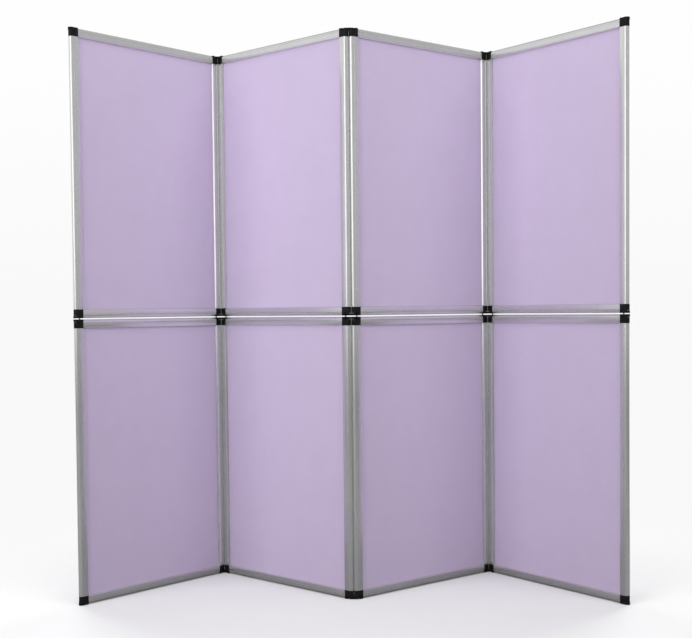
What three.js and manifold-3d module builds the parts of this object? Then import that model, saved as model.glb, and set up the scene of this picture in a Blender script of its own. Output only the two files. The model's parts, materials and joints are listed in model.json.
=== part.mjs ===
// Accordion folding partition: two rows of four framed display panels, joined by double-pivot links.
// Millimetres, +Z up, -Y is the front. The origin is at the floor, in the middle of the footprint.
import * as THREE from "three";
import { mergeVertices } from "three/addons/utils/BufferGeometryUtils.js";
import Module from "manifold-3d";

// Panels
const PANEL_WIDTH = 600;
const PANEL_HEIGHT = 900;
const FRAME_THICKNESS = 20;
const FACE_WIDTH = 26.5; // outer edge of the frame to the inner edge of its flat face
const LIP_WIDTH = 2.5; // sloped lip between the flat face and the infill
const INFILL_THICKNESS = 7;
const CHANNEL_DEPTH = 8.5; // how far the infill reaches into the frame
const NOSE_HOLLOW = 5.5; // how far the extrusion's hollow reaches into its rounded edge
const CHANNEL_WEB = 2; // metal between the hollow and the channel
const FACE_WALL = 3; // metal between the hollow and the flat face
const ROW_GAP = 3.5; // between the lower and the upper row

// Corner blocks
const KEY_LENGTH = 38; // leg of a corner block inside the extrusion
const CLEARANCE = 0.3; // fixed pieces that face each other

// Hinge links
const NOSE_GAP = 0.6; // between the rounded edges of two joined panels
const LINK_RADIUS = 6;
const LINK_THICKNESS = 7.3;
const LINK_INSET = 0.2; // link face below the end of the corner blocks
const SWING_CLEARANCE = 0.4; // link end to the rebate wall
const STUD_RADIUS = 3;
const STUD_LENGTH = 11;
const BORE_CLEARANCE = 0.3; // radial, round the stud
const BORE_EXTRA_DEPTH = 0.7;

// End tabs on the two free edges
const TAB_PROUD = 1.2;

// Pegs between the rows
const PEG_RADIUS = 2;
const SOCKET_WALL = 0.8; // block material between the rebate and the socket
const PEG_DEPTH = 9; // into the block below
const SOCKET_CLEARANCE = 0.3;
const SOCKET_FLOOR_GAP = 0.3; // the peg stands on the floor of its socket

// Rest pose: how far each pair of columns is folded from straight
const FOLD_DEGREES = [89, 80, 90];

// Facets
const NOSE_STEPS = 6;
const ROUND_STEPS = 10;
const OVERRUN = 1; // cutters and joined solids run past the face they cross

const NOSE_RADIUS = FRAME_THICKNESS / 2;
const OPENING_EDGE = FACE_WIDTH + LIP_WIDTH;
const CHANNEL_BOTTOM = OPENING_EDGE - CHANNEL_DEPTH;
const CHANNEL_HALF = INFILL_THICKNESS / 2 + CLEARANCE;
const CHAMBER_START = NOSE_RADIUS - NOSE_HOLLOW;
const CHAMBER_END = CHANNEL_BOTTOM - CHANNEL_WEB;
const CHAMBER_HALF = NOSE_RADIUS - FACE_WALL;
const BLOCK_SIZE = FACE_WIDTH - CLEARANCE;
const LINK_SPACING = 2 * NOSE_RADIUS + NOSE_GAP; // pivot to pivot
const REBATE_END = NOSE_RADIUS + LINK_RADIUS + SWING_CLEARANCE;
const REBATE_HEIGHT = LINK_INSET + LINK_THICKNESS + CLEARANCE;
const SOCKET_RADIUS = PEG_RADIUS + SOCKET_CLEARANCE;
const PEG_OFFSET = REBATE_END + SOCKET_WALL + SOCKET_RADIUS; // from the end of the panel
const ROWS = ["lower", "upper"];
const COLUMNS = FOLD_DEGREES.length + 1;

const wasm = await Module();
wasm.setup();

const aluminium = new THREE.MeshStandardMaterial({ color: 0xb9babc, roughness: 0.35, metalness: 0.9 });
const plastic = new THREE.MeshStandardMaterial({ color: 0x161618, roughness: 0.55, metalness: 0 });
const fabric = new THREE.MeshStandardMaterial({ color: 0xc4b5d6, roughness: 0.95, metalness: 0 });

// Solids and booleans

function solid(geometry) {
  const bare = new THREE.BufferGeometry().setAttribute("position", geometry.getAttribute("position"));
  if (geometry.index) bare.setIndex(geometry.index);
  const merged = mergeVertices(bare, 1e-4);
  return new wasm.Manifold(
    new wasm.Mesh({
      numProp: 3,
      vertProperties: new Float32Array(merged.attributes.position.array),
      triVerts: new Uint32Array(merged.index.array),
    }),
  );
}

function geometryOf(manifold) {
  const mesh = manifold.getMesh();
  const geometry = new THREE.BufferGeometry();
  geometry.setAttribute("position", new THREE.BufferAttribute(new Float32Array(mesh.vertProperties), 3));
  geometry.setIndex(new THREE.BufferAttribute(new Uint32Array(mesh.triVerts), 1));
  return geometry;
}

function box(low, high) {
  const size = high.map((value, axis) => value - low[axis]);
  const middle = high.map((value, axis) => (value + low[axis]) / 2);
  return solid(new THREE.BoxGeometry(...size).translate(...middle));
}

function cylinder(radius, x, zLow, zHigh) {
  const geometry = new THREE.CylinderGeometry(radius, radius, zHigh - zLow, ROUND_STEPS);
  geometry.rotateX(Math.PI / 2).translate(x, 0, (zLow + zHigh) / 2);
  return solid(geometry);
}

function prism(points, zLow, zHigh) {
  const shape = new THREE.Shape(points);
  const settings = { depth: zHigh - zLow, bevelEnabled: false };
  return solid(new THREE.ExtrudeGeometry(shape, settings).translate(0, 0, zLow));
}

// Points of an arc about (x, 0) in the plan, from one angle to another.
function arc(x, radius, from, to, steps) {
  return Array.from({ length: steps + 1 }, (_, step) => {
    const angle = from + ((to - from) * step) / steps;
    return new THREE.Vector2(x + radius * Math.cos(angle), radius * Math.sin(angle));
  });
}

// Frame of one panel: an extrusion profile carried round a rectangle

// A profile point is (distance from the outer edge, distance from the middle plane).
function frameProfile() {
  return [
    ...arc(NOSE_RADIUS, NOSE_RADIUS, Math.PI / 2, (3 * Math.PI) / 2, NOSE_STEPS),
    new THREE.Vector2(FACE_WIDTH, -NOSE_RADIUS),
    new THREE.Vector2(OPENING_EDGE, -CHANNEL_HALF),
    new THREE.Vector2(CHANNEL_BOTTOM, -CHANNEL_HALF),
    new THREE.Vector2(CHANNEL_BOTTOM, CHANNEL_HALF),
    new THREE.Vector2(OPENING_EDGE, CHANNEL_HALF),
    new THREE.Vector2(FACE_WIDTH, NOSE_RADIUS),
  ];
}

function chamberProfile() {
  return [
    new THREE.Vector2(CHAMBER_START, CHAMBER_HALF),
    new THREE.Vector2(CHAMBER_START, -CHAMBER_HALF),
    new THREE.Vector2(CHAMBER_END, -CHAMBER_HALF),
    new THREE.Vector2(CHAMBER_END, CHAMBER_HALF),
  ];
}

function rectangularSweep(profile) {
  const count = profile.length;
  const positions = [];
  for (const [right, top] of [[0, 0], [1, 0], [1, 1], [0, 1]]) {
    for (const point of profile) {
      const x = right ? PANEL_WIDTH - point.x : point.x;
      const z = top ? PANEL_HEIGHT - point.x : point.x;
      positions.push(x, point.y, z);
    }
  }
  const faces = [];
  for (let corner = 0; corner < 4; corner++) {
    for (let k = 0; k < count; k++) {
      const here = corner * count;
      const there = ((corner + 1) % 4) * count;
      const next = (k + 1) % count;
      faces.push(here + k, there + k, there + next);
      faces.push(here + k, there + next, here + next);
    }
  }
  const geometry = new THREE.BufferGeometry();
  geometry.setAttribute("position", new THREE.Float32BufferAttribute(positions, 3));
  geometry.setIndex(faces);
  return solid(geometry);
}

function frameGeometry() {
  let frame = rectangularSweep(frameProfile()).subtract(rectangularSweep(chamberProfile()));
  const reach = NOSE_RADIUS + OVERRUN;
  for (const x of [0, PANEL_WIDTH - FACE_WIDTH]) {
    for (const z of [0, PANEL_HEIGHT - FACE_WIDTH]) {
      const low = [x ? x : -OVERRUN, -reach, z ? z : -OVERRUN];
      const high = [x ? PANEL_WIDTH + OVERRUN : FACE_WIDTH, reach, z ? PANEL_HEIGHT + OVERRUN : FACE_WIDTH];
      frame = frame.subtract(box(low, high));
    }
  }
  return geometryOf(frame);
}

// Infill board with fabric on both faces; its hidden corners are cut off to clear the corner blocks.
function infillGeometry() {
  const edge = CHANNEL_BOTTOM + CLEARANCE;
  const cut = 2 * (FACE_WIDTH - edge);
  const right = PANEL_WIDTH - edge;
  const top = PANEL_HEIGHT - edge;
  const outline = [
    [edge + cut, edge], [right - cut, edge], [right, edge + cut], [right, top - cut],
    [right - cut, top], [edge + cut, top], [edge, top - cut], [edge, edge + cut],
  ];
  const points = outline.map(([x, z]) => new THREE.Vector2(x, z));
  const settings = { depth: INFILL_THICKNESS, bevelEnabled: false };
  const geometry = new THREE.ExtrudeGeometry(new THREE.Shape(points), settings);
  geometry.rotateX(Math.PI / 2).translate(0, INFILL_THICKNESS / 2, 0);
  return geometryOf(solid(geometry));
}

// Corner block at the lower left of a panel: the panel's outer corner is at the origin

function blockBody() {
  const outline = [
    ...arc(NOSE_RADIUS, NOSE_RADIUS, Math.PI / 2, (3 * Math.PI) / 2, NOSE_STEPS),
    new THREE.Vector2(BLOCK_SIZE, -NOSE_RADIUS),
    new THREE.Vector2(BLOCK_SIZE, NOSE_RADIUS),
  ];
  const rebate = box(
    [-OVERRUN, -NOSE_RADIUS - OVERRUN, -OVERRUN],
    [REBATE_END, NOSE_RADIUS + OVERRUN, REBATE_HEIGHT],
  );
  return prism(outline, 0, BLOCK_SIZE).subtract(rebate);
}

function keys() {
  const near = CHAMBER_START + CLEARANCE;
  const far = CHAMBER_END - CLEARANCE;
  const half = CHAMBER_HALF - CLEARANCE;
  const root = BLOCK_SIZE - OVERRUN;
  const tip = BLOCK_SIZE + KEY_LENGTH;
  const upright = box([near, -half, root], [far, half, tip]);
  return upright.add(box([root, -half, near], [tip, half, far]));
}

function studBore() {
  const depth = LINK_INSET + LINK_THICKNESS + STUD_LENGTH + BORE_EXTRA_DEPTH;
  return cylinder(STUD_RADIUS + BORE_CLEARANCE, NOSE_RADIUS, REBATE_HEIGHT - OVERRUN, depth);
}

// The tab fills the rebate on a free edge and is held by its stud.
function endTab() {
  const middle = NOSE_RADIUS - TAB_PROUD;
  const inner = REBATE_END - CLEARANCE;
  const outline = [
    ...arc(middle, NOSE_RADIUS, Math.PI / 2, (3 * Math.PI) / 2, NOSE_STEPS),
    new THREE.Vector2(inner, -NOSE_RADIUS),
    new THREE.Vector2(inner, NOSE_RADIUS),
  ];
  const stud = cylinder(STUD_RADIUS, NOSE_RADIUS, REBATE_HEIGHT - OVERRUN, REBATE_HEIGHT + OVERRUN);
  return prism(outline, 0, REBATE_HEIGHT - CLEARANCE).add(stud);
}

function blockGeometry(isFree, joint) {
  let block = blockBody().add(keys());
  block = isFree ? block.add(endTab()) : block.subtract(studBore());
  if (joint === "peg") {
    block = block.add(cylinder(PEG_RADIUS, PEG_OFFSET, -ROW_GAP - PEG_DEPTH, OVERRUN));
  }
  if (joint === "socket") {
    const depth = PEG_DEPTH + SOCKET_FLOOR_GAP;
    block = block.subtract(cylinder(SOCKET_RADIUS, PEG_OFFSET, -OVERRUN, depth));
  }
  return geometryOf(block);
}

// Hinge link: its middle is at the origin, its outer face down and its studs up

function linkGeometry() {
  const half = LINK_SPACING / 2;
  const outline = [
    ...arc(half, LINK_RADIUS, -Math.PI / 2, Math.PI / 2, NOSE_STEPS),
    ...arc(-half, LINK_RADIUS, Math.PI / 2, (3 * Math.PI) / 2, NOSE_STEPS),
  ];
  const shoulder = LINK_INSET + LINK_THICKNESS;
  let link = prism(outline, LINK_INSET, shoulder);
  for (const x of [-half, half]) {
    link = link.add(cylinder(STUD_RADIUS, x, shoulder - OVERRUN, shoulder + STUD_LENGTH));
  }
  return geometryOf(link);
}

// Assembly

function mesh(name, geometry, material) {
  const made = new THREE.Mesh(geometry, material.clone());
  made.name = name;
  return made;
}

// How the bottom or top blocks of a row meet the other row.
function rowJoint(row, end) {
  if (row === "upper" && end === "bottom") return "peg";
  if (row === "lower" && end === "top") return "socket";
  return "plain";
}

function cornerBlock(row, column, end, side) {
  const isFree = side === "left" ? column === 1 : column === COLUMNS;
  const geometry = blockGeometry(isFree, rowJoint(row, end));
  const block = mesh(`corner_block_${row}_${column}_${end}_${side}`, geometry, plastic);
  if (side === "right") {
    block.rotation.z = Math.PI;
    block.position.x = PANEL_WIDTH;
  }
  if (end === "top") {
    block.rotation.x = Math.PI;
    block.position.z = PANEL_HEIGHT;
  }
  return block;
}

function panel(row, column) {
  const group = new THREE.Group();
  group.add(mesh(`frame_${row}_${column}`, frameGeometry(), aluminium));
  group.add(mesh(`infill_board_${row}_${column}`, infillGeometry(), fabric));
  for (const end of ["bottom", "top"]) {
    for (const side of ["left", "right"]) group.add(cornerBlock(row, column, end, side));
  }
  return group;
}

function linkPair(row, column) {
  const group = new THREE.Group();
  for (const end of ["bottom", "top"]) {
    const link = mesh(`hinge_link_${row}_${column}${column + 1}_${end}`, linkGeometry(), plastic);
    if (end === "top") {
      link.rotation.x = Math.PI;
      link.position.z = PANEL_HEIGHT;
    }
    group.add(link);
  }
  return group;
}

// Plan of the rest pose: each column's left end and heading, and each link's middle and heading.
function restPlan() {
  const folds = FOLD_DEGREES.map(THREE.MathUtils.degToRad);
  let heading = folds[0] / 2;
  const headings = [heading];
  folds.forEach((fold, index) => {
    heading += index % 2 ? fold : -fold;
    headings.push(heading);
  });
  const along = (angle) => new THREE.Vector2(Math.cos(angle), Math.sin(angle));
  const columns = [];
  const links = [];
  let end = new THREE.Vector2();
  headings.forEach((angle, index) => {
    columns.push({ end: end.clone(), angle });
    if (index === headings.length - 1) return;
    const between = (angle + headings[index + 1]) / 2;
    const pivot = end.clone().addScaledVector(along(angle), PANEL_WIDTH - NOSE_RADIUS);
    links.push({ end: pivot.clone().addScaledVector(along(between), LINK_SPACING / 2), angle: between });
    pivot.addScaledVector(along(between), LINK_SPACING);
    end = pivot.addScaledVector(along(headings[index + 1]), -NOSE_RADIUS);
  });
  return { columns, links };
}

function place(group, { end, angle }, z) {
  group.position.set(end.x, end.y, z);
  group.rotation.z = angle;
  return group;
}

// The line between the two free edges is turned onto X.
function levelAngle({ columns }) {
  const last = columns[COLUMNS - 1];
  const x = last.end.x + PANEL_WIDTH * Math.cos(last.angle);
  const y = last.end.y + PANEL_WIDTH * Math.sin(last.angle);
  return -Math.atan2(y, x);
}

const partition = new THREE.Group();
const standing = new THREE.Group();
partition.add(standing);
const plan = restPlan();
standing.rotation.z = levelAngle(plan);
ROWS.forEach((row, level) => {
  const z = level * (PANEL_HEIGHT + ROW_GAP);
  plan.columns.forEach((spot, index) => standing.add(place(panel(row, index + 1), spot, z)));
  plan.links.forEach((spot, index) => standing.add(place(linkPair(row, index + 1), spot, z)));
});
partition.updateMatrixWorld(true);
const middle = new THREE.Box3().setFromObject(partition, true).getCenter(new THREE.Vector3());
standing.position.set(-middle.x, -middle.y, 0);

export default partition;
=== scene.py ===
"""Looks of the accordion folding partition: two rows of four fabric panels, joined by links."""

import json
import math

import bmesh
import bpy
from mathutils import Matrix, Vector


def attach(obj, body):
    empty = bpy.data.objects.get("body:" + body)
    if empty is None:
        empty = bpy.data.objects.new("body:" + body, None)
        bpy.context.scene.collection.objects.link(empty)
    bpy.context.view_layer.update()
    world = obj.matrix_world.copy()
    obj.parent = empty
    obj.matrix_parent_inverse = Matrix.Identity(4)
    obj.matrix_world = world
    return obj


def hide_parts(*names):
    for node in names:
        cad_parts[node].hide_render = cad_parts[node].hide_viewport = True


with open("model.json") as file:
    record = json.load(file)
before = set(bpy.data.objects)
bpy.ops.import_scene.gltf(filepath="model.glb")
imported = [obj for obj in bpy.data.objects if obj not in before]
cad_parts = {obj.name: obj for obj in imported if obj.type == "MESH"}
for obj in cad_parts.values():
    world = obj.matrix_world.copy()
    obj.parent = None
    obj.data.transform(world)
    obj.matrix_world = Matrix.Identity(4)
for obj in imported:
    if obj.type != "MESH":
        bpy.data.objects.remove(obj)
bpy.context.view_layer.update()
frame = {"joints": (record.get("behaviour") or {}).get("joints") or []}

# Sizes in millimetres, in the panel's own frame: x along the width, y through the thickness, z up.
MM = 0.001
PANEL_WIDTH, PANEL_HEIGHT, ROW_GAP = 600, 900, 3.5
CLEARANCE = 0.3
FOLD_DEGREES = (89, 80, 90)
ROWS = ("lower", "upper")
COLUMNS = (1, 2, 3, 4)
FOLDS = {"12": (1, 2), "23": (2, 3), "34": (3, 4)}

# Section of an extrusion: depths run in from the panel's edge, heights out from its middle plane.
HALF_THICKNESS, NOSE_CENTRE = 10, 10
RAIL_NOSE, STILE_NOSE = 10, 10.2
FACE_WIDTH, LIP_WIDTH = 26.5, 2.5
OPENING_EDGE = FACE_WIDTH + LIP_WIDTH
CHANNEL_BOTTOM, CHANNEL_HALF, LIP_ROOT, LIP_FOOT = 20.5, 3.8, 26.42, 5.1
CHAMBER_START, CHAMBER_END, CHAMBER_HALF = 4.5, 18.5, 7
GROOVE_START, GROOVE_WIDTH, GROOVE_DEPTH = 10.3, 1.1, 0.9
FACE_BREAK, FACE_DROP = 0.25, 0.06
SHOULDER_BREAK, SHOULDER_DROP = 0.1, 0.4
TIP_BREAK, TIP_RISE = 0.12, 0.3
END_CHAMFER = 0.35

# Corner blocks and links. Parts of a moulding overlap, so that they join without a seam.
OVERLAP = 1
BLOCK_SIZE, BLOCK_ROUND = 27.4, 0.7
CUT_END = BLOCK_SIZE + CLEARANCE
SPUR_WIDTH, SPUR_ROOT, SPUR_DROP = 1.5, 1.5, 0.15
REBATE_END, REBATE_HEIGHT = 16.4, 7.8
TAB_CENTRE, TAB_END, TAB_HEIGHT = 8.8, REBATE_END - CLEARANCE, REBATE_HEIGHT - CLEARANCE
KEY_NEAR, KEY_FAR = CHAMBER_START + CLEARANCE, CHAMBER_END - CLEARANCE
KEY_HALF, KEY_TIP, KEY_ROUND = CHAMBER_HALF - CLEARANCE, 64.2, 0.8
PEG_RADIUS, PEG_OFFSET, PEG_LENGTH = 2, 19.5, 9
SOCKET_RADIUS, SOCKET_DEPTH = PEG_RADIUS + CLEARANCE, PEG_LENGTH + CLEARANCE
LINK_SPACING, LINK_RADIUS = 20.6, 6
LINK_LOW, LINK_HIGH = 0.2, REBATE_HEIGHT - CLEARANCE
STUD_TOP, STUD_RADIUS, STUD_ROUND = 18.5, 3, 0.4
BORE_RADIUS, BORE_DEPTH = STUD_RADIUS + CLEARANCE, 19.2
SMALL_ROUND = 0.5

# Infill board, with its corners cut off to clear the corner blocks.
BOARD_EDGE, BOARD_CORNER = CHANNEL_BOTTOM + CLEARANCE, 13.4
BOARD_HALF, CLOTH_THICKNESS = CHANNEL_HALF - CLEARANCE, 0.6


# Node trees

# Places of the two inputs and the result among a Mix node's sockets, for each kind of data.
MIX_PLACES = {"FLOAT": (2, 3, 0), "RGBA": (6, 7, 2)}


class Nodes:
    """Builds a node tree; most helpers return the socket that holds their result."""

    def __init__(self, tree):
        self.tree = tree
        tree.nodes.clear()

    def feed(self, socket, value):
        """Links a source to a socket, or sets the socket to a number, vector or RGB colour."""
        if isinstance(value, bpy.types.NodeSocket):
            self.tree.links.new(value, socket)
        elif socket.type == "RGBA":
            socket.default_value = (*value, 1)
        else:
            socket.default_value = value

    def node(self, kind, inputs=None, **properties):
        made = self.tree.nodes.new(kind)
        for name, value in properties.items():
            setattr(made, name, value)
        for place, value in (inputs or {}).items():
            self.feed(made.inputs[place], value)
        return made

    def coordinates(self, scale=(1, 1, 1)):
        """The piece's own coordinates in metres, scaled along each axis."""
        place = self.node("ShaderNodeTexCoord").outputs["Object"]
        return self.node("ShaderNodeMapping", {"Vector": place, "Scale": scale}).outputs["Vector"]

    def noise(self, vector, scale, detail, roughness=0.5):
        inputs = {"Vector": vector, "Scale": scale, "Detail": detail, "Roughness": roughness}
        return self.node("ShaderNodeTexNoise", inputs).outputs["Fac"]

    def spread(self, value, source, target, interpolation="LINEAR"):
        """A value taken from its source range to the target range, and held at both ends."""
        ends = dict(zip(("From Min", "From Max", "To Min", "To Max"), (*source, *target)))
        made = self.node(
            "ShaderNodeMapRange", {"Value": value, **ends}, interpolation_type=interpolation
        )
        return made.outputs["Result"]

    def ramp(self, value, source):
        """A smooth step from 0 at the start of the source range to 1 at its end."""
        return self.spread(value, source, (0, 1), "SMOOTHSTEP")

    def mix(self, factor, first, second, kind="RGBA"):
        """Two colours or numbers mixed by a factor: 0 gives the first, 1 the second."""
        near, far, result = MIX_PLACES[kind]
        inputs = {0: factor, near: first, far: second}
        return self.node("ShaderNodeMix", inputs, data_type=kind).outputs[result]

    def maths(self, operation, first, second):
        inputs = {0: first, 1: second}
        return self.node("ShaderNodeMath", inputs, operation=operation).outputs[0]

    def axes(self, vector):
        return self.node("ShaderNodeSeparateXYZ", {0: vector}).outputs

    def bump(self, height, strength, distance):
        inputs = {"Height": height, "Strength": strength, "Distance": distance}
        return self.node("ShaderNodeBump", inputs).outputs["Normal"]

    def surface(self, inputs):
        """Ends a material's tree with a Principled shader."""
        shader = self.node("ShaderNodeBsdfPrincipled", inputs)
        self.node("ShaderNodeOutputMaterial", {"Surface": shader.outputs[0]})

    def glossy_ray(self):
        return self.node("ShaderNodeLightPath").outputs["Is Glossy Ray"]

    def white_ray(self):
        """1 for camera, glossy and transmission rays."""
        path = self.node("ShaderNodeLightPath").outputs
        seen = self.maths("MAXIMUM", path["Is Camera Ray"], path["Is Glossy Ray"])
        return self.maths("MAXIMUM", seen, path["Is Transmission Ray"])

    def split_surface(self, factor, first, second, output):
        """Ends a tree with two shaders mixed by a factor."""
        mixed = self.node("ShaderNodeMixShader", {0: factor, 1: first, 2: second})
        self.node(output, {"Surface": mixed.outputs[0]})


def new_material(name):
    material = bpy.data.materials.new(name)
    material.use_nodes = True
    return material, Nodes(material.node_tree)


# Materials

# Most of a noise texture lies in this range.
NOISE_RANGE = (0.3, 0.7)
RUBBED_RANGE, RUBBED_BLACK = (0.5, 0.62), (0.012, 0.012, 0.013)
# The last share is how much of the fabric's colour follows the pile's height: painted shade that
# darkens the hollows between loops.
LOOP_RANGE, FIBRE_SHARE, LOOP_SHADE_SHARE = (0.1, 0.75), 0.35, 0.55
DARK_FIBRE, PALE_FIBRE = (0.30, 0.27, 0.23), (0.46, 0.42, 0.36)


def aluminium(name, dark, light, roughness):
    """Anodised aluminium with fine drawing lines along the piece's own x axis."""
    material, nodes = new_material(name)
    lines = nodes.noise(nodes.coordinates((1.5, 900, 900)), scale=1, detail=3)
    clouds = nodes.noise(nodes.coordinates(), scale=9, detail=3)
    nodes.surface({
        "Base Color": nodes.mix(nodes.spread(clouds, NOISE_RANGE, (0, 1)), dark, light),
        "Roughness": nodes.spread(lines, NOISE_RANGE, roughness),
        "Normal": nodes.bump(lines, strength=0.05, distance=0.00012),
        "Metallic": 0.92,
    })
    return material


def moulded_plastic(name, dark, light):
    """Black moulding with a fine eroded texture and slightly rubbed edges."""
    material, nodes = new_material(name)
    place = nodes.coordinates()
    grain = nodes.noise(place, scale=2600, detail=2)
    patches = nodes.noise(place, scale=90, detail=3)
    edges = nodes.node("ShaderNodeNewGeometry").outputs["Pointiness"]
    rubbed = nodes.spread(edges, RUBBED_RANGE, (0, 1))
    black = nodes.mix(nodes.spread(patches, NOISE_RANGE, (0, 1)), dark, light)
    nodes.surface({
        "Base Color": nodes.mix(rubbed, black, RUBBED_BLACK),
        "Roughness": nodes.spread(patches, NOISE_RANGE, (0.42, 0.54)),
        "Normal": nodes.bump(grain, strength=0.25, distance=0.0002),
        "Specular IOR Level": 0.12,
    })
    return material


def loop_fabric(name, dark, light):
    """Short loop pile: packed loops a little over a millimetre across, in soft tonal clouds and
    painted shade between loops.
    """
    material, nodes = new_material(name)
    place = nodes.coordinates()
    cells = {"Vector": place, "Scale": 850, "Randomness": 0.85}
    distance = nodes.node("ShaderNodeTexVoronoi", cells).outputs["Distance"]
    loops = nodes.spread(distance, LOOP_RANGE, (1, 0))
    fibres = nodes.noise(place, scale=3800, detail=3, roughness=0.65)
    height = nodes.mix(FIBRE_SHARE, loops, fibres, "FLOAT")
    clouds = nodes.noise(place, scale=14, detail=4, roughness=0.6)
    # Colour follows the tonal clouds and the pile's height; the height part is painted shade,
    # darker in the hollows between loops.
    clouds_and_loop_shade = nodes.mix(LOOP_SHADE_SHARE, nodes.spread(clouds, NOISE_RANGE, (0.38, 0.62)), height, "FLOAT")
    nodes.surface({
        "Base Color": nodes.mix(clouds_and_loop_shade, dark, light),
        "Roughness": 0.93,
        "Normal": nodes.bump(height, strength=0.55, distance=0.0007),
        "Specular IOR Level": 0.2,
        "Sheen Weight": 0.12,
        "Sheen Roughness": 0.5,
    })
    return material


def board_core(name):
    """Edge of the stiff core: pressed grey fibre in thin layers."""
    material, nodes = new_material(name)
    layers = nodes.noise(nodes.coordinates((40, 1800, 40)), scale=1, detail=3)
    nodes.surface({
        "Base Color": nodes.mix(layers, DARK_FIBRE, PALE_FIBRE),
        "Roughness": 0.9,
        "Normal": nodes.bump(layers, strength=0.4, distance=0.0004),
    })
    return material


METAL = aluminium("satin_aluminium", (0.75, 0.75, 0.755), (0.79, 0.79, 0.795), (0.21, 0.27))
CUT_METAL = aluminium("cut_aluminium", (0.78, 0.78, 0.785), (0.84, 0.84, 0.845), (0.26, 0.4))
PLASTIC = moulded_plastic("black_moulding", (0.003, 0.003, 0.0032), (0.005, 0.005, 0.0053))
FABRIC = loop_fabric("lilac_loops", (0.46, 0.386, 0.535), (0.62, 0.522, 0.722))
CORE = board_core("fibre_core")


# Mesh helpers

WELD_METRES = 1e-6
SHARP_EXTRUSION, SHARP_MOULDING, SHARP_BOARD = 24, 30, 32
ROUND_FROM_DEGREES = 40


def add_object(name, data):
    made = bpy.data.objects.new(name, data)
    bpy.context.scene.collection.objects.link(made)
    return made


def mesh_from(name, bm):
    mesh = bpy.data.meshes.new(name)
    bm.to_mesh(mesh)
    bm.free()
    return mesh


def clean(bm):
    """Welds points that meet and turns every face outwards."""
    bmesh.ops.remove_doubles(bm, verts=bm.verts, dist=WELD_METRES)
    bmesh.ops.recalc_face_normals(bm, faces=bm.faces)


def finish_mesh(name, bm, materials, sharp_degrees):
    clean(bm)
    mesh = mesh_from(name, bm)
    for material in materials:
        mesh.materials.append(material)
    mesh.shade_smooth()
    mesh.set_sharp_from_angle(angle=math.radians(sharp_degrees))
    return mesh


def arc(x, radius, start, end, steps):
    """Points of an arc about (x, 0), from one angle in degrees to another."""
    angles = [math.radians(start + (end - start) * k / steps) for k in range(steps + 1)]
    return [(x + radius * math.cos(a), radius * math.sin(a)) for a in angles]


def circle(x, radius, steps=28):
    return arc(x, radius, 0, 360, steps)[:-1]


def rectangle(x_range, y_range):
    (left, right), (near, far) = x_range, y_range
    return [(left, near), (right, near), (right, far), (left, far)]


def join_rings(bm, first, second, material_index=0):
    """Faces between two rings of the same number of points."""
    for k, _ in enumerate(first):
        after = (k + 1) % len(first)
        face = bm.faces.new((first[k], first[after], second[after], second[k]))
        face.material_index = material_index


def prism(outline, low, high):
    """A closed prism over an outline of (x, y) points, in millimetres."""
    bm = bmesh.new()
    foot, top = [
        [bm.verts.new((x * MM, y * MM, z * MM)) for x, y in outline] for z in (low, high)
    ]
    bm.faces.new(foot[::-1])
    bm.faces.new(top)
    join_rings(bm, foot, top)
    return bm


def round_edges(bm, width, segments):
    bm.normal_update()
    edges = [e for e in bm.edges if e.calc_face_angle(0) > math.radians(ROUND_FROM_DEGREES)]
    bmesh.ops.bevel(
        bm, geom=edges, offset=width * MM, segments=segments, profile=0.5,
        affect="EDGES", clamp_overlap=True,
    )


def solid(bm, width=0, segments=3):
    """A temporary object from a closed bmesh, with its edges rounded where a width is given."""
    clean(bm)
    if width:
        round_edges(bm, width, segments)
    return add_object("part", mesh_from("part", bm))


def combine(name, body, steps, materials, sharp_degrees):
    """Adds each (operation, object) to the body, or cuts it away, and returns the mesh."""
    for operation, other in steps:
        modifier = body.modifiers.new("step", "BOOLEAN")
        modifier.operation = operation
        modifier.object = other
        modifier.solver = "EXACT"
    bpy.context.view_layer.update()
    evaluated = body.evaluated_get(bpy.context.evaluated_depsgraph_get())
    bm = bmesh.new()
    bm.from_mesh(evaluated.data)
    for part in [body] + [other for _, other in steps]:
        mesh = part.data
        bpy.data.objects.remove(part)
        bpy.data.meshes.remove(mesh)
    return finish_mesh(name, bm, materials, sharp_degrees)


# Frame extrusions

# Material slots of an extrusion.
DRAWN, SAWN = 0, 1
# Places of the lip's four points, and of the two at its tip, in half a section.
LIP, TIP = slice(-5, -1), slice(-4, -2)


def nose_turn(radius):
    """Degrees from the front of a nose to where it meets the flat face."""
    return math.degrees(math.asin(HALF_THICKNESS / radius))


def half_section(nose):
    """Half a section, from the middle of the nose to the channel, as (depth, height, end).

    The end is how far from the panel's corner the extrusion stops at that point.
    """
    top = HALF_THICKNESS
    half = [(d, h, CUT_END) for d, h in arc(NOSE_CENTRE, nose, 180, 180 - nose_turn(nose), 16)]
    half += [
        (GROOVE_START, top, CUT_END),
        (GROOVE_START + GROOVE_WIDTH / 2, top - GROOVE_DEPTH, CUT_END),
        (GROOVE_START + GROOVE_WIDTH, top, CUT_END),
        (LIP_ROOT - FACE_BREAK, top, CUT_END),
        (LIP_ROOT, top - FACE_DROP, CUT_END),
        (FACE_WIDTH + SHOULDER_BREAK, top - SHOULDER_DROP, FACE_WIDTH + SPUR_WIDTH),
        (OPENING_EDGE - TIP_BREAK, LIP_FOOT + TIP_RISE, OPENING_EDGE),
        (OPENING_EDGE, LIP_FOOT, OPENING_EDGE),
        (LIP_ROOT, CHANNEL_HALF, CUT_END),
        (CHANNEL_BOTTOM, CHANNEL_HALF, CUT_END),
    ]
    return half


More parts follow.
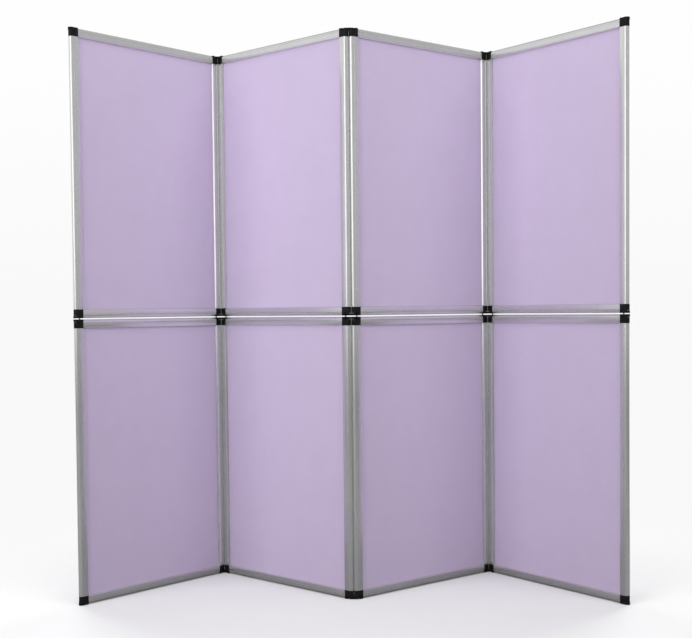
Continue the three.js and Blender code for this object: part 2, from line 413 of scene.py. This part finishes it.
def inward(loop, amount):
    """A clockwise loop of (depth, height) drawn in by an amount, to chamfer a cut end."""
    made = []
    for k, (x, y) in enumerate(loop):
        (x0, y0), (x1, y1) = loop[k - 1], loop[(k + 1) % len(loop)]
        before = Vector((x - x0, y - y0)).normalized()
        after = Vector((x1 - x, y1 - y)).normalized()
        normal = Vector((before.y + after.y, -(before.x + after.x))).normalized()
        made.append((x + normal.x * amount, y + normal.y * amount))
    return made


def cap_end(bm, outer, hole, half_count):
    """Sawn end of an extrusion: three faces around the hollow chamber and one on each lip."""
    upper, lower = outer[:half_count], [outer[0]] + outer[:half_count - 1:-1]
    upper_lip, lower_lip = upper[LIP], lower[LIP][::-1]
    del upper[TIP], lower[TIP]
    faces = [
        upper + [hole[2], hole[1], hole[0]],
        lower + [hole[4], hole[5], hole[0]],
        [upper[-1], lower[-1], hole[4], hole[3], hole[2]],
        upper_lip,
        lower_lip,
    ]
    for corners in faces:
        bm.faces.new(corners).material_index = SAWN


def extrusion_mesh(name, length, nose):
    """A hollow extrusion along x, with its nose down and its cut ends chamfered."""
    half = half_section(nose)
    full = half + [(depth, -height, end) for depth, height, end in half[:0:-1]]
    section = [(depth, height) for depth, height, _ in full]
    drawn_in = inward(section, END_CHAMFER)
    chamber = [
        (CHAMBER_START, 0), (CHAMBER_START, CHAMBER_HALF), (CHAMBER_END, CHAMBER_HALF),
        (CHAMBER_END, 0), (CHAMBER_END, -CHAMBER_HALF), (CHAMBER_START, -CHAMBER_HALF),
    ]
    ends = [end for _, _, end in full]
    chamfered = [end + END_CHAMFER for end in ends]
    bm = bmesh.new()

    def ring(points, along):
        return [bm.verts.new((x * MM, y * MM, z * MM)) for (z, y), x in zip(points, along)]

    rings = [
        ring(drawn_in, ends),
        ring(section, chamfered),
        ring(section, [length - x for x in chamfered]),
        ring(drawn_in, [length - x for x in ends]),
    ]
    start_hole, end_hole = [ring(chamber, [x] * len(chamber)) for x in (CUT_END, length - CUT_END)]
    for first, second, slot in zip(rings, rings[1:], (SAWN, DRAWN, SAWN)):
        join_rings(bm, first, second, slot)
    join_rings(bm, end_hole, start_hole, DRAWN)
    cap_end(bm, rings[0], start_hole, len(half))
    cap_end(bm, rings[-1], end_hole, len(half))
    return finish_mesh(name, bm, (METAL, CUT_METAL), SHARP_EXTRUSION)


# Corner blocks and links


def d_outline(centre, end, steps=20):
    """A rounded nose with straight sides back to the end."""
    turned = nose_turn(STILE_NOSE)
    nose = arc(centre, STILE_NOSE, 180 - turned, 180 + turned, steps)
    return nose + [(end, -HALF_THICKNESS), (end, HALF_THICKNESS)]


def spur(side):
    """Pointed tip of the block that fills the mitre between two lips."""
    inner, wide, point = BLOCK_SIZE - SPUR_ROOT, FACE_WIDTH + SPUR_WIDTH, OPENING_EDGE
    corners = [(inner, inner), (wide, FACE_WIDTH), (point, point), (FACE_WIDTH, wide)]
    face, tip = HALF_THICKNESS - SPUR_DROP, LIP_FOOT + TIP_RISE - SPUR_DROP
    foot = CHANNEL_HALF - OVERLAP
    bm = bmesh.new()

    def ring(heights):
        places = zip(corners, heights)
        return [bm.verts.new((x * MM, side * y * MM, z * MM)) for (x, z), y in places]

    upper, base = ring((face, face, tip, face)), ring([foot] * len(corners))
    bm.faces.new(upper)
    bm.faces.new(base[::-1])
    join_rings(bm, base, upper)
    return bm


def block_mesh(kind, is_free):
    """A corner block, with an end tab where it is free and a bore for a link where it isn't."""
    root, beyond = BLOCK_SIZE - OVERLAP, HALF_THICKNESS + OVERLAP
    key_heights = (-KEY_HALF, KEY_HALF)
    body = solid(prism(d_outline(NOSE_CENTRE, BLOCK_SIZE), 0, BLOCK_SIZE), BLOCK_ROUND)
    rebate = prism(rectangle((-OVERLAP, REBATE_END), (-beyond, beyond)), -OVERLAP, REBATE_HEIGHT)
    stile_key = prism(rectangle((KEY_NEAR, KEY_FAR), key_heights), root, KEY_TIP)
    rail_key = prism(rectangle((root, KEY_TIP), key_heights), KEY_NEAR, KEY_FAR)
    steps = [
        ("DIFFERENCE", solid(rebate)),
        ("UNION", solid(stile_key, KEY_ROUND, segments=2)),
        ("UNION", solid(rail_key, KEY_ROUND, segments=2)),
        ("UNION", solid(spur(-1))),
        ("UNION", solid(spur(1))),
    ]
    if is_free:
        low, high = REBATE_HEIGHT - OVERLAP, REBATE_HEIGHT + OVERLAP
        tab = prism(d_outline(TAB_CENTRE, TAB_END), 0, TAB_HEIGHT)
        steps.append(("UNION", solid(prism(circle(NOSE_CENTRE, STUD_RADIUS), low, high))))
        steps.append(("UNION", solid(tab, SMALL_ROUND)))
    else:
        bore = prism(circle(NOSE_CENTRE, BORE_RADIUS), REBATE_HEIGHT - OVERLAP, BORE_DEPTH)
        steps.append(("DIFFERENCE", solid(bore)))
    if kind == "peg":
        peg = prism(circle(PEG_OFFSET, PEG_RADIUS), -ROW_GAP - PEG_LENGTH, OVERLAP)
        steps.append(("UNION", solid(peg, SMALL_ROUND, segments=2)))
    if kind == "socket":
        socket = prism(circle(PEG_OFFSET, SOCKET_RADIUS), -OVERLAP, SOCKET_DEPTH)
        steps.append(("DIFFERENCE", solid(socket)))
    name = f"block_{kind}_{'free' if is_free else 'linked'}"
    return combine(name, body, steps, (PLASTIC,), SHARP_MOULDING)


def link_mesh():
    half = LINK_SPACING / 2
    outline = arc(half, LINK_RADIUS, -90, 90, 16) + arc(-half, LINK_RADIUS, 90, 270, 16)
    body = solid(prism(outline, LINK_LOW, LINK_HIGH), SMALL_ROUND)
    steps = []
    for x in (-half, half):
        stud = prism(circle(x, STUD_RADIUS), LINK_HIGH - OVERLAP, STUD_TOP)
        steps.append(("UNION", solid(stud, STUD_ROUND, segments=2)))
    return combine("link", body, steps, (PLASTIC,), SHARP_MOULDING)


# Infill


def board_outline():
    left, right = BOARD_EDGE, PANEL_WIDTH - BOARD_EDGE
    bottom, top = BOARD_EDGE, PANEL_HEIGHT - BOARD_EDGE
    cut = BOARD_CORNER
    return [
        (left + cut, bottom), (right - cut, bottom), (right, bottom + cut), (right, top - cut),
        (right - cut, top), (left + cut, top), (left, top - cut), (left, bottom + cut),
    ]


def board_mesh(name, near, far, material):
    """A flat layer of the infill between two distances from the panel's middle plane."""
    bm = prism(board_outline(), near, far)
    upright = Matrix.Rotation(math.radians(90), 3, "X")
    bmesh.ops.rotate(bm, verts=bm.verts, cent=(0, 0, 0), matrix=upright)
    return finish_mesh(name, bm, (material,), SHARP_BOARD)


# Shared meshes, and their places on a panel


def shift(x, y, z):
    return Matrix.Translation((x * MM, y * MM, z * MM))


def turn(degrees, axis):
    return Matrix.Rotation(math.radians(degrees), 4, axis)


RAIL = extrusion_mesh("rail", PANEL_WIDTH, RAIL_NOSE)
STILE = extrusion_mesh("stile", PANEL_HEIGHT, STILE_NOSE)
EXTRUSIONS = {
    "rail_bottom": (RAIL, Matrix.Identity(4)),
    "rail_top": (RAIL, shift(PANEL_WIDTH, 0, PANEL_HEIGHT) @ turn(180, "Y")),
    "stile_left": (STILE, shift(0, 0, PANEL_HEIGHT) @ turn(90, "Y")),
    "stile_right": (STILE, shift(PANEL_WIDTH, 0, 0) @ turn(-90, "Y")),
}
LINK = link_mesh()
CORE_HALF = BOARD_HALF - CLOTH_THICKNESS
CORE_MESH = board_mesh("core", -CORE_HALF, CORE_HALF, CORE)
CLOTH_MESHES = {
    "front": board_mesh("cloth_front", CORE_HALF, BOARD_HALF, FABRIC),
    "back": board_mesh("cloth_back", -BOARD_HALF, -CORE_HALF, FABRIC),
}
BLOCKS = {
    (kind, is_free): block_mesh(kind, is_free)
    for kind in ("plain", "peg", "socket")
    for is_free in (False, True)
}


# Where each column and link stands


def direction(degrees):
    return Vector((math.cos(math.radians(degrees)), math.sin(math.radians(degrees))))


def standing(point, degrees, height):
    """Matrix of a thing at a plan position and a height, turned to its heading."""
    return Matrix.Translation((point.x, point.y, height)) @ turn(degrees, "Z")


def pivots():
    """Plan position of each stud of the lower row: {(fold, column): point}."""
    joints = {joint["name"]: joint for joint in frame["joints"]}
    return {
        (fold, column): Vector(joints[f"fold_{fold}_at_{column}"]["pos_m"][:2])
        for fold, columns in FOLDS.items()
        for column in columns
    }


def column_places():
    """Where each column starts, and its heading in degrees: {column: (point, degrees)}."""
    at = pivots()
    along = at["23", 2] - at["12", 2]
    second = math.degrees(math.atan2(along.y, along.x))
    third = second + FOLD_DEGREES[1]
    headings = {1: second + FOLD_DEGREES[0], 2: second, 3: third, 4: third - FOLD_DEGREES[2]}
    reach = (PANEL_WIDTH - NOSE_CENTRE) * MM
    starts = {1: at["12", 1] - direction(headings[1]) * reach}
    for fold, (_, column) in FOLDS.items():
        starts[column] = at[fold, column] - direction(headings[column]) * NOSE_CENTRE * MM
    return {column: (starts[column], headings[column]) for column in COLUMNS}


def link_places():
    """Middle of each link, and its heading in degrees: {fold: (point, degrees)}."""
    at = pivots()
    made = {}
    for fold, (near, far) in FOLDS.items():
        span = at[fold, far] - at[fold, near]
        middle = (at[fold, near] + at[fold, far]) / 2
        made[fold] = (middle, math.degrees(math.atan2(span.y, span.x)))
    return made


# Pieces


def add_piece(name, mesh, matrix, body, replaced=()):
    piece = add_object(name, mesh)
    piece.matrix_world = matrix
    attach(piece, body)
    if replaced:
        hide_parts(*replaced)
    return piece


def block_kind(row, end):
    if (row, end) == ("upper", "bottom"):
        return "peg"
    return "socket" if (row, end) == ("lower", "top") else "plain"


def add_blocks(row, column, place, body):
    for end in ("bottom", "top"):
        for side in ("left", "right"):
            is_free = (column, side) in ((1, "left"), (4, "right"))
            local = Matrix.Identity(4)
            if side == "right":
                local = shift(PANEL_WIDTH, 0, 0) @ turn(180, "Z")
            if end == "top":
                local = shift(0, 0, PANEL_HEIGHT) @ local @ turn(180, "X")
            node = f"corner_block_{row}_{column}_{end}_{side}"
            mesh = BLOCKS[block_kind(row, end), is_free]
            add_piece(f"moulded_{node}", mesh, place @ local, body, [node])


def add_panel(row, column, place):
    """The four extrusions, the board with its two cloths, and the corner blocks."""
    body = f"panel_{row}_{column}"
    for part, (mesh, local) in EXTRUSIONS.items():
        replaced = [f"frame_{row}_{column}"] if part == "rail_bottom" else []
        add_piece(f"{part}_{row}_{column}", mesh, place @ local, body, replaced)
    board = [f"infill_board_{row}_{column}"]
    core = add_piece(f"core_{row}_{column}", CORE_MESH, place, body, board)
    for face, mesh in CLOTH_MESHES.items():
        cloth = add_piece(f"fabric_{face}_{row}_{column}", mesh, place, body, board)
    add_blocks(row, column, place, body)


def add_links(row, fold, place):
    upside_down = shift(0, 0, PANEL_HEIGHT) @ turn(180, "X")
    for end, local in (("bottom", Matrix.Identity(4)), ("top", upside_down)):
        node, body = f"hinge_link_{row}_{fold}_{end}", f"links_{row}_{fold}"
        add_piece(f"moulded_{node}", LINK, place @ local, body, [node])


for level, row in enumerate(ROWS):
    base = level * (PANEL_HEIGHT + ROW_GAP) * MM
    for column, (start, heading) in column_places().items():
        add_panel(row, column, standing(start, heading, base))
    for fold, (middle, heading) in link_places().items():
        add_links(row, fold, standing(middle, heading, base))


# Floor and backdrop, in metres; greys are linear.

FLOOR_RADIUS, FLOOR_DROP = 14, 0.0005
FLOOR_COLOUR, FLOOR_BOUNCE = (0.73, 0.73, 0.73), (0.22, 0.22, 0.22)
FADE_RANGE, FLOOR_FRONT = (0.7, 1.8), (2.0, 0.3)
BACKDROP_WHITE, HIGH_WHITE = (0.945, 0.945, 0.945), (0.99, 0.99, 0.99)
ROOM_GREY, ROOM_LEFT = (0.5, 0.5, 0.5), (0.8, 0.8, 0.8)
FILL_STRENGTH = 0.12
# Ranges of a direction's X, Y or Z, over which one part of the world gives way to the next.
HIGH_RANGE, LEFT_RANGE = (0, 0.22), (-0.5, -0.95)
FRONT_RANGE, ABOVE_RANGE = (0.5, 0.05), (0.4, 0.65)


def make_floor():
    """Pale floor that takes the shadow and fades to the backdrop's white with distance."""
    bm = bmesh.new()
    bmesh.ops.create_circle(bm, cap_ends=True, segments=96, radius=FLOOR_RADIUS)
    floor = add_object("floor", mesh_from("floor", bm))
    floor.location.z = -FLOOR_DROP
    material, nodes = new_material("studio_floor")
    position = nodes.node("ShaderNodeNewGeometry").outputs["Position"]
    distance = nodes.node("ShaderNodeVectorMath", {0: position}, operation="LENGTH")
    far = nodes.ramp(distance.outputs["Value"], FADE_RANGE)
    front = nodes.ramp(nodes.axes(position)["Y"], FLOOR_FRONT)
    room = nodes.maths("MULTIPLY", front, nodes.glossy_ray())
    seen = nodes.maths("SUBTRACT", nodes.white_ray(), room)
    colour = nodes.mix(seen, FLOOR_BOUNCE, FLOOR_COLOUR)
    diffuse = nodes.node("ShaderNodeBsdfDiffuse", {"Color": colour}).outputs[0]
    white = nodes.node("ShaderNodeEmission", {"Color": BACKDROP_WHITE}).outputs[0]
    shown = nodes.maths("MULTIPLY", far, seen)
    nodes.split_surface(shown, diffuse, white, "ShaderNodeOutputMaterial")
    floor.data.materials.append(material)


def make_world():
    """White backdrop; the room before and above it, which only metal shows, is a pale grey."""
    world = bpy.data.worlds.new("studio")
    bpy.context.scene.world = world
    world.use_nodes = True
    nodes = Nodes(world.node_tree)
    axes = nodes.axes(nodes.node("ShaderNodeTexCoord").outputs["Generated"])
    backdrop = nodes.mix(nodes.ramp(axes["Z"], HIGH_RANGE), BACKDROP_WHITE, HIGH_WHITE)
    room = nodes.mix(nodes.ramp(axes["X"], LEFT_RANGE), ROOM_GREY, ROOM_LEFT)
    front = nodes.ramp(axes["Y"], FRONT_RANGE)
    above = nodes.ramp(axes["Z"], ABOVE_RANGE)
    away = nodes.maths("MAXIMUM", front, above)
    in_room = nodes.maths("MULTIPLY", away, nodes.glossy_ray())
    colour = nodes.mix(in_room, backdrop, room)
    fill_inputs = {"Color": (1, 1, 1), "Strength": FILL_STRENGTH}
    fill = nodes.node("ShaderNodeBackground", fill_inputs).outputs[0]
    shown = nodes.node("ShaderNodeBackground", {"Color": colour}).outputs[0]
    nodes.split_surface(nodes.white_ray(), fill, shown, "ShaderNodeOutputWorld")


# Lamps, in metres and watts

MIDDLE = (0, 0, 1.3)


def add_lamp(name, place, target, size, watts, lights=True, shines=True):
    """An area lamp that lights surfaces, shows in metal, or both."""
    data = bpy.data.lights.new(name, "AREA")
    data.shape = "RECTANGLE"
    data.size, data.size_y = size
    data.energy = watts
    lamp = add_object(name, data)
    lamp.location = place
    lamp.rotation_euler = (Vector(target) - Vector(place)).to_track_quat("-Z", "Y").to_euler()
    lamp.visible_camera = False
    lamp.visible_diffuse = lights
    lamp.visible_glossy = shines


def make_lamps():
    add_lamp("key", (-2.95, -3.35, 2.4), MIDDLE, (3.8, 3.2), 187, shines=False)
    add_lamp("fill", (3.0, -3.4, 3.3), MIDDLE, (5.0, 3.6), 178, shines=False)
    add_lamp("softbox", (-2.5, -3.3, 2.4), MIDDLE, (2.7, 3.2), 27.5, lights=False)
    add_lamp("top", (0, -0.4, 3.7), (0, 0, 0), (3.4, 2.6), 42, shines=False)
    for x, name in ((-2.7, "rear_left"), (2.7, "rear_right")):
        add_lamp(name, (x, 3.5, 2.8), (0, 0, 1.1), (3.2, 2.8), 165, shines=False)


# Camera, fitted to the photograph's frame

IMAGE_WIDTH = 692
FOCAL_PIXELS = 1134.16
CENTRE_PIXELS = (1.6, 33.78)
SENSOR_WIDTH = 36
CAMERA_PLACE = (0.1086, -3.7374, 0.9229)
CAMERA_YAW, CAMERA_PITCH, CAMERA_ROLL = (math.radians(a) for a in (-1.8816, 2.1886, -0.5687))


def make_camera():
    data = bpy.data.cameras.new("camera")
    data.sensor_width = SENSOR_WIDTH
    data.lens = FOCAL_PIXELS / IMAGE_WIDTH * SENSOR_WIDTH
    data.shift_x = -CENTRE_PIXELS[0] / IMAGE_WIDTH
    data.shift_y = CENTRE_PIXELS[1] / IMAGE_WIDTH
    across, ahead = math.sin(CAMERA_YAW), math.cos(CAMERA_YAW)
    level = math.cos(CAMERA_PITCH)
    forward = Vector((across * level, ahead * level, -math.sin(CAMERA_PITCH)))
    flat_right = Vector((ahead, -across, 0))
    flat_up = flat_right.cross(forward)
    right = math.cos(CAMERA_ROLL) * flat_right + math.sin(CAMERA_ROLL) * flat_up
    up = -math.sin(CAMERA_ROLL) * flat_right + math.cos(CAMERA_ROLL) * flat_up
    camera = add_object("camera", data)
    turned = Matrix((right, up, -forward)).transposed().to_4x4()
    camera.matrix_world = Matrix.Translation(CAMERA_PLACE) @ turned
    bpy.context.scene.camera = camera


make_floor()
make_world()
make_lamps()
make_camera()
bpy.context.scene.view_settings.view_transform = "Standard"
